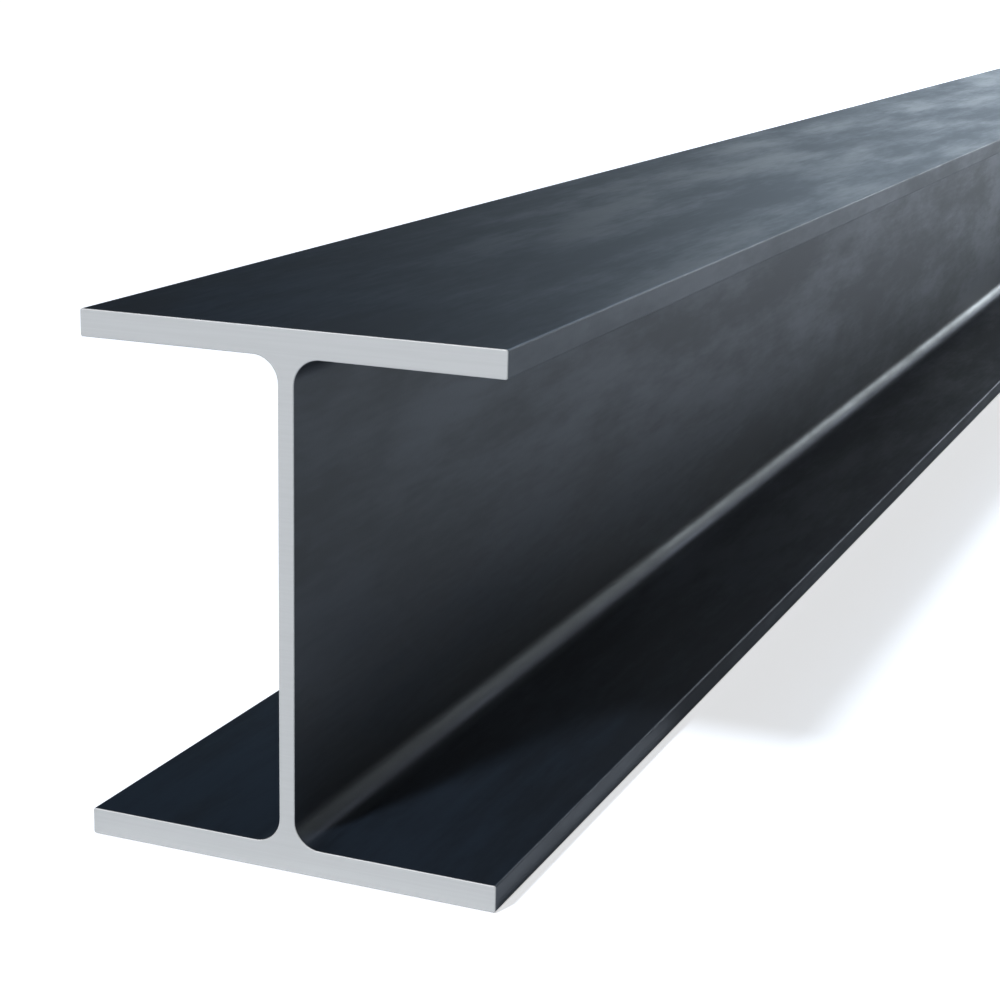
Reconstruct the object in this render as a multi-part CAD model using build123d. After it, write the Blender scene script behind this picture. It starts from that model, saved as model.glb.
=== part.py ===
from build123d import *
import os

# Hot-rolled wide-flange steel beam, sawn square at both ends: one solid piece of stock.
# It lies on its bottom flange. +X runs along it, +Y across the flanges and +Z up the web.
# The origin is half way along the beam, at the middle of the bottom flange's underside.
# All sizes are in millimetres.

# The rolled section
section_depth = 201.4
flange_width = 165.1
flange_thickness = 10.2
web_thickness = 6.2
root_radius = 10.0
toe_radius = 0.8

# The bar
beam_length = 3048.0
end_chamfer = 0.4


def distance_from_web(corner):
    """How far a corner of the section lies to the side of the web's middle."""
    return abs(corner.X)


def rolled_section():
    """The I-shaped section, centred on the origin, with its flanges along X and its web along Y."""
    clear_depth = section_depth - 2 * flange_thickness
    flange_centre = (section_depth - flange_thickness) / 2
    web = Rectangle(web_thickness, clear_depth)
    flange = Rectangle(flange_width, flange_thickness)
    sharp = web + Pos(0, flange_centre) * flange + Pos(0, -flange_centre) * flange
    roots = sharp.vertices().group_by(distance_from_web)[0]
    rooted = fillet(roots, root_radius)
    toes = rooted.vertices().group_by(distance_from_web)[-1]
    return fillet(toes, toe_radius)


def i_beam():
    """The section rolled along the beam, set on its bottom flange, with the burr taken off both sawn ends."""
    section = Plane.YZ.offset(-beam_length / 2) * rolled_section()
    bar = Pos(0, 0, section_depth / 2) * extrude(section, beam_length)
    faces_along_bar = bar.faces().sort_by(Axis.X)
    end_edges = faces_along_bar[0].edges() + faces_along_bar[-1].edges()
    return chamfer(end_edges, end_chamfer)


os.makedirs("parts", exist_ok=True)
export_step(i_beam(), "parts/i_beam.step")
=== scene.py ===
from math import cos, pi, radians, sin

import bpy
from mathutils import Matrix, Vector


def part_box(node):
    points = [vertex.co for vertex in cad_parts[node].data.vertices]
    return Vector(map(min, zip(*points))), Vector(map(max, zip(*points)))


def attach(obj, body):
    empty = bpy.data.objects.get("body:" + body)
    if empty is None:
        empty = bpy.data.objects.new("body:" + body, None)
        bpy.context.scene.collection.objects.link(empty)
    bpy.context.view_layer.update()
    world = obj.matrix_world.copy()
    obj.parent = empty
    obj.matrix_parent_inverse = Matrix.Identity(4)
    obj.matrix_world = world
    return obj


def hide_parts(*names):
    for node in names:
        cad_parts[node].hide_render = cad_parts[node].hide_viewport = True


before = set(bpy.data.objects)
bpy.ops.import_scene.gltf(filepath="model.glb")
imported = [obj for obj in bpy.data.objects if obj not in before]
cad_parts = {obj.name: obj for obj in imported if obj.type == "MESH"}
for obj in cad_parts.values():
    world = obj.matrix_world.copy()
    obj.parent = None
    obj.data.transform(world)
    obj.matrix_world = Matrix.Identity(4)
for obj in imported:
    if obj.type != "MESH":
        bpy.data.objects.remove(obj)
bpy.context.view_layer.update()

# A hot-rolled wide-flange steel beam with sawn ends. All lengths are in metres, in the row's frame:
# +X along the beam, +Y across its flanges and +Z up its web, with the origin under its middle.

# The rolled section
beam_low, beam_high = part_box("i_beam")
flange_thickness = 0.0102
web_thickness = 0.0062
root_radius = 0.0100
toe_radius = 0.0008
end_ease = 0.0004

# How finely the mesh follows it, and how firmly its flat faces keep their own shade
root_steps = 16
toe_steps = 4
ease_steps = 3
bays_along_beam = 24
flat_face_weight = 100

# The map that textures are baked on, laid out in metres before it is scaled to fit
map_bands = 2
map_gap = 0.012
end_scale = 3
ease_scale = 4

# The mill scale on the rolled faces
scale_dark = (0.0044, 0.0068, 0.0101)
scale_light = (0.0137, 0.0205, 0.0301)
scale_worn = (0.0300, 0.0380, 0.0460)
scale_ior = 1.50
scale_roughness_low = 0.34
scale_roughness_high = 0.46
cloud_size = 0.050
cloud_stretch = 4.5
cloud_detail = 5
cloud_roughness = 0.69
cloud_range = (0.37, 0.65)
cloud_shift = (31.102, -30.834, -7.151)
streak_size = 0.0022
streak_stretch = 14.0
streak_share = 0.10
grain_size = 0.0016
fine_detail = 2
fine_roughness = 0.5
noise_middle = 0.5
wear_width = 0.0012
wear_clouds = (0.25, 0.60)
wear_least = 0.4
cloud_relief = 0.00010
grain_relief = 0.00002

# The bare steel of the sawn ends
sawn_colour = (0.598, 0.584, 0.556)
sawn_shade = (0.578, 0.564, 0.536)
sawn_metallic = 0.35
sawn_roughness = 0.55
saw_line_size = 0.0009
saw_line_length = 0.060
saw_line_detail = 3
saw_line_roughness = 0.6
saw_line_range = (0.35, 0.65)
saw_line_relief = 0.00001

# The camera, where the photograph was taken from
camera_place = (-2.17256, -0.34515, 0.33261)
camera_turn = (75.402, -1.2478, -67.5047)
sensor_width = 0.036
focal_length = 0.07780822
millimetres_per_metre = 1000

# Plain colours
black = (0.0, 0.0, 0.0)
white = (1.0, 1.0, 1.0)

# The floor
floor_drop = 0.0003
floor_half_size = 40.0
floor_colour = (0.79, 0.835, 0.885)
floor_lift = 0.68
floor_in_steel = 0.02
floor_roughness = 0.40

# The studio: its soft lights, the side that stays dim in the steel, and its sun, with angles in degrees
glows = (
    {"azimuth": -1.0, "elevation": -0.7, "breadth": 11.3, "height": 3.4, "colour": (16.3, 18.2, 19.4)},
    {"azimuth": -9.4, "elevation": 28.8, "breadth": 4.5, "height": 9.0, "colour": (3.70, 4.20, 5.20)},
    {"azimuth": 8.6, "elevation": 32.7, "breadth": 3.5, "height": 7.4, "colour": (2.90, 4.10, 5.50)},
)
dim_side = {"azimuth": 16.0, "elevation": 5.0, "inner": 45.0, "outer": 75.0}
world_in_steel = 0.35
key_azimuth = 163.0
key_elevation = 41.7
key_angle = 6.0
key_strength = 2.93
key_colour = (1.0, 1.06, 1.15)


def rounded(before, corner, after, radius, steps):
    """The points of an arc that rounds one square corner of an outline."""
    into = (Vector(corner) - Vector(before)).normalized()
    out = (Vector(after) - Vector(corner)).normalized()
    start = Vector(corner) - into * radius
    points = []
    for step in range(steps + 1):
        turn = pi / 2 * step / steps
        points.append(start + into * radius * sin(turn) + out * radius * (1 - cos(turn)))
    return points


def section_outline(inset):
    """The section's outline as (y, z) points from the middle of its underside, moved inwards by inset."""
    tip = beam_high.y - inset
    under, over = beam_low.z + inset, beam_high.z - inset
    lower, upper = beam_low.z + flange_thickness - inset, beam_high.z - flange_thickness + inset
    web = web_thickness / 2 - inset
    toe = (toe_radius - inset, toe_steps)
    root = (root_radius + inset, root_steps)
    corners = [
        ((tip, under), toe), ((tip, lower), toe), ((web, lower), root),
        ((web, upper), root), ((tip, upper), toe), ((tip, over), toe),
        ((-tip, over), toe), ((-tip, upper), toe), ((-web, upper), root),
        ((-web, lower), root), ((-tip, lower), toe), ((-tip, under), toe),
    ]
    outline = [Vector((0, under))]
    for number, (corner, (radius, steps)) in enumerate(corners):
        before = corners[number - 1][0]
        after = corners[(number + 1) % len(corners)][0]
        outline += rounded(before, corner, after, radius, steps)
    return outline


def stations():
    """(x, inset) of each ring of the mesh: the eased near end, the bays and the eased far end."""
    ease = [(end_ease * (1 - sin(pi / 2 * k / ease_steps)), end_ease * (1 - cos(pi / 2 * k / ease_steps)))
            for k in range(ease_steps, 0, -1)]
    low, high = beam_low.x + end_ease, beam_high.x - end_ease
    bays = [(low + (high - low) * k / bays_along_beam, 0) for k in range(bays_along_beam + 1)]
    near = [(beam_low.x + back, inset) for back, inset in ease]
    far = [(beam_high.x - back, inset) for back, inset in reversed(ease)]
    return near + bays + far


def distances(outline):
    """How far round the outline each of its points lies, with the whole way round as the last."""
    walked = [0]
    for before, after in zip(outline, outline[1:] + outline[:1]):
        walked.append(walked[-1] + (after - before).length)
    return walked


def on_band(x, distance, row, whole_way):
    """Where a rolled corner lies on the map: each half of the beam is a band, unrolled round its outline."""
    half_end = beam_high.x if row else 0
    return Vector((map_gap + half_end - x, map_gap + row * (whole_way + map_gap) + distance))


def beside_bands(point, row):
    """Where a sawn corner lies on the map: the ends are beside the bands, larger, as seen from outside."""
    seen = Vector((point.x if row else -point.x, point.y))
    room = map_gap + ease_scale * end_ease
    left = beam_high.x + map_gap + end_scale * (beam_high.y + room)
    low = map_gap + end_scale * (room + row * (beam_high.z + 2 * room))
    return Vector((left, low)) + end_scale * seen


def beam_mesh():
    """Rings of the outline joined by quads and closed by the sawn ends, with the map for baking."""
    rings = stations()
    walked = distances(section_outline(0))
    around = len(walked) - 1
    vertices = [(x, point.x, point.y) for x, inset in rings for point in section_outline(inset)]
    spread_rings = [section_outline(end_ease - (end_ease - inset) * ease_scale) for x, inset in rings]
    faces, places, materials = [], [], []

    def add(corners):
        middle = sum(rings[ring][0] for ring, number in corners) / len(corners)
        row = 1 if middle > 0 else 0
        sawn = abs(middle) > beam_high.x - end_ease
        faces.append([ring * around + number % around for ring, number in corners])
        materials.append(1 if sawn else 0)
        for ring, number in corners:
            if sawn:
                places.append(beside_bands(spread_rings[ring][number % around], row))
            else:
                places.append(on_band(rings[ring][0], walked[number], row, walked[-1]))

    for ring in range(len(rings) - 1):
        for number in range(around):
            add([(ring, number), (ring, number + 1), (ring + 1, number + 1), (ring + 1, number)])
    add([(0, number) for number in reversed(range(around))])
    add([(len(rings) - 1, number) for number in range(around)])

    mesh = bpy.data.meshes.new("beam")
    mesh.from_pydata(vertices, [], faces)
    size = map_bands * walked[-1] + (map_bands + 1) * map_gap
    layer = mesh.uv_layers.new(name="OFBake")
    layer.data.foreach_set("uv", [number / size for place in places for number in place])
    mesh.polygons.foreach_set("material_index", materials)
    mesh.polygons.foreach_set("use_smooth", [True] * len(faces))
    return mesh


def make_beam():
    mesh = beam_mesh()
    mesh.materials.append(mill_scale())
    mesh.materials.append(sawn_steel())
    beam = bpy.data.objects.new("beam", mesh)
    bpy.context.collection.objects.link(beam)
    smooth = beam.modifiers.new("flat faces stay flat", "WEIGHTED_NORMAL")
    smooth.mode = "FACE_AREA"
    smooth.weight = flat_face_weight
    return beam


def new_material(name):
    material = bpy.data.materials.new(name)
    material.use_nodes = True
    nodes = material.node_tree.nodes
    return material, nodes, material.node_tree.links, nodes["Principled BSDF"]


def noise(nodes, links, coordinates, size, detail, roughness, stretch=(1, 1, 1), shift=(0, 0, 0)):
    """Noise with blotches about size long, longer by the stretch of each axis, and moved by a shift."""
    mapping = nodes.new("ShaderNodeMapping")
    mapping.inputs["Location"].default_value = shift
    mapping.inputs["Scale"].default_value = [1 / (size * share) for share in stretch]
    links.new(coordinates, mapping.inputs["Vector"])
    texture = nodes.new("ShaderNodeTexNoise")
    texture.inputs["Scale"].default_value = 1
    texture.inputs["Detail"].default_value = detail
    texture.inputs["Roughness"].default_value = roughness
    links.new(mapping.outputs["Vector"], texture.inputs["Vector"])
    return texture.outputs["Fac"]


def spread(nodes, links, value, low, high, to_low, to_high):
    """A value stretched from one range to another, and held inside it."""
    node = nodes.new("ShaderNodeMapRange")
    node.interpolation_type = "SMOOTHSTEP"
    for name, number in (("From Min", low), ("From Max", high), ("To Min", to_low), ("To Max", to_high)):
        node.inputs[name].default_value = number
    links.new(value, node.inputs["Value"])
    return node.outputs["Result"]


def blend_colours(nodes, links, share, first, second):
    node = nodes.new("ShaderNodeMix")
    node.data_type = "RGBA"
    links.new(share, node.inputs["Factor"])
    for socket, colour in ((node.inputs["A"], first), (node.inputs["B"], second)):
        if isinstance(colour, tuple):
            socket.default_value = (*colour, 1.0)
        else:
            links.new(colour, socket)
    return node.outputs["Result"]


def arithmetic(nodes, links, operation, *values):
    """What one step of arithmetic gives for its values, each a node's output or a number."""
    node = nodes.new("ShaderNodeMath")
    node.operation = operation
    for socket, value in zip(node.inputs, values):
        if isinstance(value, float):
            socket.default_value = value
        else:
            links.new(value, socket)
    return node.outputs["Value"]


def relief(nodes, links, height, depth, normal=None):
    """A bump of the given depth, laid over another."""
    node = nodes.new("ShaderNodeBump")
    node.inputs["Strength"].default_value = 1
    node.inputs["Distance"].default_value = depth
    links.new(height, node.inputs["Height"])
    if normal:
        links.new(normal, node.inputs["Normal"])
    return node.outputs["Normal"]


def edge_wear(nodes, links, place, clouds):
    """How far the scale is rubbed thin: most on the edge faces of the flanges, and unevenly."""
    axes = nodes.new("ShaderNodeSeparateXYZ")
    links.new(place, axes.inputs["Vector"])
    across = arithmetic(nodes, links, "ABSOLUTE", axes.outputs["Y"])
    tip = beam_high.y
    near_tip = spread(nodes, links, across, tip - wear_width, tip, 0, 1)
    uneven = spread(nodes, links, clouds, *wear_clouds, wear_least, 1)
    return arithmetic(nodes, links, "MULTIPLY", near_tip, uneven)


def mill_scale():
    """Dark blue-grey oxide, cloudy and finely streaked along the rolling direction, worn at the edges."""
    material, nodes, links, surface = new_material("mill_scale")
    place = nodes.new("ShaderNodeTexCoord").outputs["Object"]
    stretch = (cloud_stretch, 1, 1)
    clouds = noise(nodes, links, place, cloud_size, cloud_detail, cloud_roughness, stretch, cloud_shift)
    streaks = noise(nodes, links, place, streak_size, fine_detail, fine_roughness, (streak_stretch, 1, 1))
    grain = noise(nodes, links, place, grain_size, fine_detail, fine_roughness)
    off_middle = arithmetic(nodes, links, "SUBTRACT", streaks, noise_middle)
    lines = arithmetic(nodes, links, "MULTIPLY", off_middle, streak_share)
    mottle = arithmetic(nodes, links, "ADD", clouds, lines)
    cloud_share = spread(nodes, links, mottle, *cloud_range, 0, 1)
    colour = blend_colours(nodes, links, cloud_share, scale_dark, scale_light)
    worn = edge_wear(nodes, links, place, clouds)
    links.new(blend_colours(nodes, links, worn, colour, scale_worn), surface.inputs["Base Color"])
    rough = spread(nodes, links, mottle, *cloud_range, scale_roughness_high, scale_roughness_low)
    links.new(rough, surface.inputs["Roughness"])
    surface.inputs["IOR"].default_value = scale_ior
    waves = relief(nodes, links, clouds, cloud_relief)
    links.new(relief(nodes, links, grain, grain_relief, waves), surface.inputs["Normal"])
    return material


def sawn_steel():
    """Bright bare steel with the fine lines of a saw across it."""
    material, nodes, links, surface = new_material("sawn_steel")
    place = nodes.new("ShaderNodeTexCoord").outputs["Object"]
    stretch = (1, saw_line_length / saw_line_size, 1)
    lines = noise(nodes, links, place, saw_line_size, saw_line_detail, saw_line_roughness, stretch)
    shade = spread(nodes, links, lines, *saw_line_range, 0, 1)
    colour = blend_colours(nodes, links, shade, sawn_shade, sawn_colour)
    links.new(colour, surface.inputs["Base Color"])
    surface.inputs["Metallic"].default_value = sawn_metallic
    surface.inputs["Roughness"].default_value = sawn_roughness
    links.new(relief(nodes, links, lines, saw_line_relief), surface.inputs["Normal"])
    return material


def make_camera():
    lens = bpy.data.cameras.new("camera")
    lens.sensor_width = sensor_width * millimetres_per_metre
    lens.lens = focal_length * millimetres_per_metre
    camera = bpy.data.objects.new("camera", lens)
    camera.location = camera_place
    camera.rotation_euler = [radians(angle) for angle in camera_turn]
    bpy.context.collection.objects.link(camera)
    bpy.context.scene.camera = camera


def shown(nodes, links, share_in_steel):
    """1 where the camera looks straight at a thing, and a share of that where steel or glass reflects it."""
    path = nodes.new("ShaderNodeLightPath")
    glossy, transmitted = path.outputs["Is Glossy Ray"], path.outputs["Is Transmission Ray"]
    reflected = arithmetic(nodes, links, "ADD", glossy, transmitted)
    lowered = arithmetic(nodes, links, "MULTIPLY", reflected, share_in_steel)
    return arithmetic(nodes, links, "ADD", path.outputs["Is Camera Ray"], lowered)


def make_floor():
    """A pale floor that carries the beam's shadow, lifted to white by a glow that lights nothing."""
    corners = [(x, y, -floor_drop) for x, y in ((-1, -1), (1, -1), (1, 1), (-1, 1))]
    mesh = bpy.data.meshes.new("floor")
    mesh.from_pydata(corners, [], [range(len(corners))])
    material, nodes, links, surface = new_material("pale_floor")
    surface.inputs["Base Color"].default_value = (*floor_colour, 1)
    surface.inputs["Roughness"].default_value = floor_roughness
    surface.inputs["Emission Color"].default_value = (*white, 1)
    lift = arithmetic(nodes, links, "MULTIPLY", shown(nodes, links, floor_in_steel), floor_lift)
    links.new(lift, surface.inputs["Emission Strength"])
    mesh.materials.append(material)
    floor = bpy.data.objects.new("floor", mesh)
    floor.scale = (floor_half_size, floor_half_size, 1)
    bpy.context.collection.objects.link(floor)


def direction(azimuth, elevation):
    """The unit vector at an azimuth from +X towards +Y and an elevation above the floor, in degrees."""
    turn, rise = radians(azimuth), radians(elevation)
    return Vector((cos(turn) * cos(rise), sin(turn) * cos(rise), sin(rise)))


def bell(nodes, links, angle, middle, width):
    """A bell curve over an angle: 1 in the middle, and less to both sides of it."""
    off = arithmetic(nodes, links, "SUBTRACT", angle, radians(middle))
    share = arithmetic(nodes, links, "DIVIDE", off, radians(width))
    square = arithmetic(nodes, links, "MULTIPLY", share, share)
    return arithmetic(nodes, links, "EXPONENT", arithmetic(nodes, links, "MULTIPLY", square, -0.5))


def glow(nodes, links, azimuth, elevation, place):
    """A soft light around one place in the studio."""
    sideways = bell(nodes, links, azimuth, place["azimuth"], place["breadth"])
    upright = bell(nodes, links, elevation, place["elevation"], place["height"])
    share = arithmetic(nodes, links, "MULTIPLY", sideways, upright)
    return blend_colours(nodes, links, share, black, place["colour"])


def away_from_dim_side(nodes, links, way):
    """The share of white that steel reflects: none on the dim side, world_in_steel well away from it."""
    across = nodes.new("ShaderNodeVectorMath")
    across.operation = "DOT_PRODUCT"
    across.inputs[1].default_value = direction(dim_side["azimuth"], dim_side["elevation"])
    links.new(way, across.inputs[0])
    inner, outer = cos(radians(dim_side["inner"])), cos(radians(dim_side["outer"]))
    return spread(nodes, links, across.outputs["Value"], outer, inner, world_in_steel, 0)


def added_light(nodes, links, first, second):
    node = nodes.new("ShaderNodeVectorMath")
    node.operation = "ADD"
    links.new(first, node.inputs[0])
    links.new(second, node.inputs[1])
    return node.outputs["Vector"]


def make_world():
    """A studio with a long low light behind the beam's far end, two softer ones above it and white walls."""
    world = bpy.data.worlds.new("studio")
    bpy.context.scene.world = world
    world.use_nodes = True
    nodes, links = world.node_tree.nodes, world.node_tree.links
    way = nodes.new("ShaderNodeTexCoord").outputs["Generated"]
    axes = nodes.new("ShaderNodeSeparateXYZ")
    links.new(way, axes.inputs["Vector"])
    azimuth = arithmetic(nodes, links, "ARCTAN2", axes.outputs["Y"], axes.outputs["X"])
    elevation = arithmetic(nodes, links, "ARCSINE", axes.outputs["Z"])
    light = glow(nodes, links, azimuth, elevation, glows[0])
    for place in glows[1:]:
        light = added_light(nodes, links, light, glow(nodes, links, azimuth, elevation, place))
    share = shown(nodes, links, away_from_dim_side(nodes, links, way))
    seen = blend_colours(nodes, links, share, light, white)
    links.new(seen, nodes["Background"].inputs["Color"])


def make_key_light():
    light = bpy.data.lights.new("key_light", "SUN")
    light.angle = radians(key_angle)
    light.energy = key_strength
    light.color = key_colour
    lamp = bpy.data.objects.new("key_light", light)
    lamp.rotation_euler = direction(key_azimuth, key_elevation).to_track_quat("Z", "Y").to_euler()
    bpy.context.collection.objects.link(lamp)


bpy.context.scene.view_settings.view_transform = "Standard"
make_camera()
make_world()
make_floor()
make_key_light()
beam = make_beam()
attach(beam, "root")
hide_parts("i_beam")
